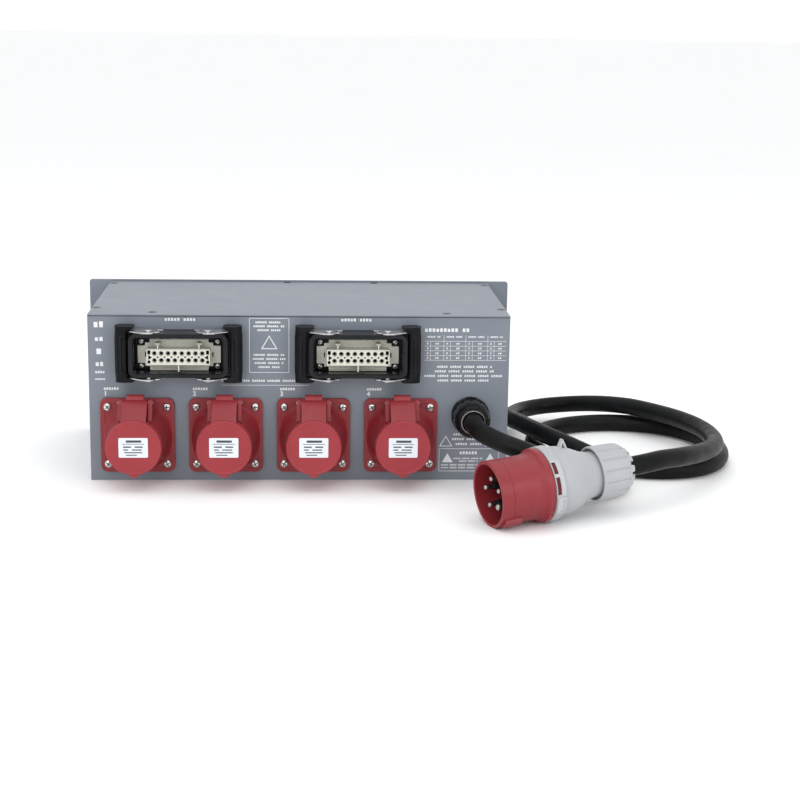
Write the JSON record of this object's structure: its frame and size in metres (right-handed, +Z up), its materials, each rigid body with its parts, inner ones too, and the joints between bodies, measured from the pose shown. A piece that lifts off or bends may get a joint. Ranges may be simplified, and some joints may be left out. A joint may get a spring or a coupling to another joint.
{
  "type": "portable power distribution box",
  "caption": "Rack-width grey steel power distribution box with lidded motor sockets, lever-locked multi-way connectors, breakers, and a coiled supply cable with plug.",
  "frame": {"origin": "on the surface the box stands on, under the middle of the case's width; the case runs from y = -0.113 at the socket side to y = 0.110 at the back of the rack panel", "axes": "+X along the rack panel's width, +Y out of the front rack panel with the breakers, -Y out of the socket side, +Z up"},
  "size_m": [0.7169, 0.4687, 0.177],
  "materials": {
    "grey_paint": "satin",
    "red_plastic": "satin",
    "dark_red_plastic": "satin",
    "black_plastic": "satin",
    "black_paint": "satin",
    "ivory_plastic": "satin",
    "steel": "brushed",
    "light_grey_plastic": "satin",
    "rubber": "matt"
  },
  "bodies": {
    "box": {"chassis_tray": "grey_paint", "top_cover": "grey_paint", "rear_panel": "grey_paint", "front_panel": "grey_paint", "socket_1_housing": "red_plastic", "socket_1_contact_carrier": "dark_red_plastic", "socket_1_hinge_pin": "steel", "socket_2_housing": "red_plastic", "socket_2_contact_carrier": "dark_red_plastic", "socket_2_hinge_pin": "steel", "socket_3_housing": "red_plastic", "socket_3_contact_carrier": "dark_red_plastic", "socket_3_hinge_pin": "steel", "socket_4_housing": "red_plastic", "socket_4_contact_carrier": "dark_red_plastic", "socket_4_hinge_pin": "steel", "connector_1_shell": "black_paint", "connector_1_insert": "ivory_plastic", "connector_2_shell": "black_paint", "connector_2_insert": "ivory_plastic", "gland_body": "black_plastic", "gland_nut": "black_plastic", "gland_lock_nut": "black_plastic", "power_cable": "rubber", "plug_shroud": "red_plastic", "plug_pin_carrier": "dark_red_plastic", "plug_earth_pin": "steel", "plug_pin_1": "steel", "plug_pin_2": "steel", "plug_pin_3": "steel", "plug_pin_4": "steel", "plug_housing": "light_grey_plastic", "plug_clamp_nut": "light_grey_plastic", "main_breaker_body": "light_grey_plastic", "motor_breaker_1_body": "light_grey_plastic", "motor_breaker_2_body": "light_grey_plastic", "motor_breaker_3_body": "light_grey_plastic", "motor_breaker_4_body": "light_grey_plastic", "din_rail": "steel", "phase_lamp_1": "dark_red_plastic", "phase_lamp_2": "dark_red_plastic", "phase_lamp_3": "dark_red_plastic", "incoming_terminal_block": "light_grey_plastic"},
    "socket_1_lid": {"socket_1_lid": "red_plastic"},
    "socket_2_lid": {"socket_2_lid": "red_plastic"},
    "socket_3_lid": {"socket_3_lid": "red_plastic"},
    "socket_4_lid": {"socket_4_lid": "red_plastic"},
    "connector_1_left_lever": {"connector_1_left_lever": "steel", "connector_1_left_grip": "black_plastic"},
    "connector_1_right_lever": {"connector_1_right_lever": "steel", "connector_1_right_grip": "black_plastic"},
    "connector_2_left_lever": {"connector_2_left_lever": "steel", "connector_2_left_grip": "black_plastic"},
    "connector_2_right_lever": {"connector_2_right_lever": "steel", "connector_2_right_grip": "black_plastic"},
    "main_breaker_toggle": {"main_breaker_toggle": "black_plastic"},
    "motor_breaker_1_toggle": {"motor_breaker_1_toggle": "black_plastic"},
    "motor_breaker_2_toggle": {"motor_breaker_2_toggle": "black_plastic"},
    "motor_breaker_3_toggle": {"motor_breaker_3_toggle": "black_plastic"},
    "motor_breaker_4_toggle": {"motor_breaker_4_toggle": "black_plastic"}
  },
  "joints": [
    {"name": "socket_1_lid_hinge", "type": "hinge", "parent": "box", "child": "socket_1_lid", "pos_m": [-0.1676, -0.135, 0.0875], "axis": [-1, 0, 0], "range_deg": [0, 90], "stiffness_Nm_per_rad": 0.2},
    {"name": "socket_2_lid_hinge", "type": "hinge", "parent": "box", "child": "socket_2_lid", "pos_m": [-0.0769, -0.135, 0.0875], "axis": [-1, 0, 0], "range_deg": [0, 90], "stiffness_Nm_per_rad": 0.2},
    {"name": "socket_3_lid_hinge", "type": "hinge", "parent": "box", "child": "socket_3_lid", "pos_m": [0.0138, -0.135, 0.0875], "axis": [-1, 0, 0], "range_deg": [0, 90], "stiffness_Nm_per_rad": 0.2},
    {"name": "socket_4_lid_hinge", "type": "hinge", "parent": "box", "child": "socket_4_lid", "pos_m": [0.1045, -0.135, 0.0875], "axis": [-1, 0, 0], "range_deg": [0, 90], "stiffness_Nm_per_rad": 0.2},
    {"name": "connector_1_left_lever_pivot", "type": "hinge", "parent": "box", "child": "connector_1_left_lever", "pos_m": [-0.1535, -0.135, 0.1365], "axis": [0, 0, -1], "range_deg": [-80, 0]},
    {"name": "connector_1_right_lever_pivot", "type": "hinge", "parent": "box", "child": "connector_1_right_lever", "pos_m": [-0.0935, -0.135, 0.1365], "axis": [0, 0, 1], "range_deg": [-80, 0]},
    {"name": "connector_2_left_lever_pivot", "type": "hinge", "parent": "box", "child": "connector_2_left_lever", "pos_m": [0.029, -0.135, 0.1365], "axis": [0, 0, -1], "range_deg": [-80, 0]},
    {"name": "connector_2_right_lever_pivot", "type": "hinge", "parent": "box", "child": "connector_2_right_lever", "pos_m": [0.089, -0.135, 0.1365], "axis": [0, 0, 1], "range_deg": [-80, 0]},
    {"name": "main_breaker_toggle_pivot", "type": "hinge", "parent": "box", "child": "main_breaker_toggle", "pos_m": [-0.108, 0.116, 0.092], "axis": [-1, 0, 0], "range_deg": [0, 45]},
    {"name": "motor_breaker_1_toggle_pivot", "type": "hinge", "parent": "box", "child": "motor_breaker_1_toggle", "pos_m": [-0.045, 0.116, 0.092], "axis": [-1, 0, 0], "range_deg": [0, 45]},
    {"name": "motor_breaker_2_toggle_pivot", "type": "hinge", "parent": "box", "child": "motor_breaker_2_toggle", "pos_m": [0.009, 0.116, 0.092], "axis": [-1, 0, 0], "range_deg": [0, 45]},
    {"name": "motor_breaker_3_toggle_pivot", "type": "hinge", "parent": "box", "child": "motor_breaker_3_toggle", "pos_m": [0.063, 0.116, 0.092], "axis": [-1, 0, 0], "range_deg": [0, 45]},
    {"name": "motor_breaker_4_toggle_pivot", "type": "hinge", "parent": "box", "child": "motor_breaker_4_toggle", "pos_m": [0.117, 0.116, 0.092], "axis": [-1, 0, 0], "range_deg": [0, 45]}
  ]
}
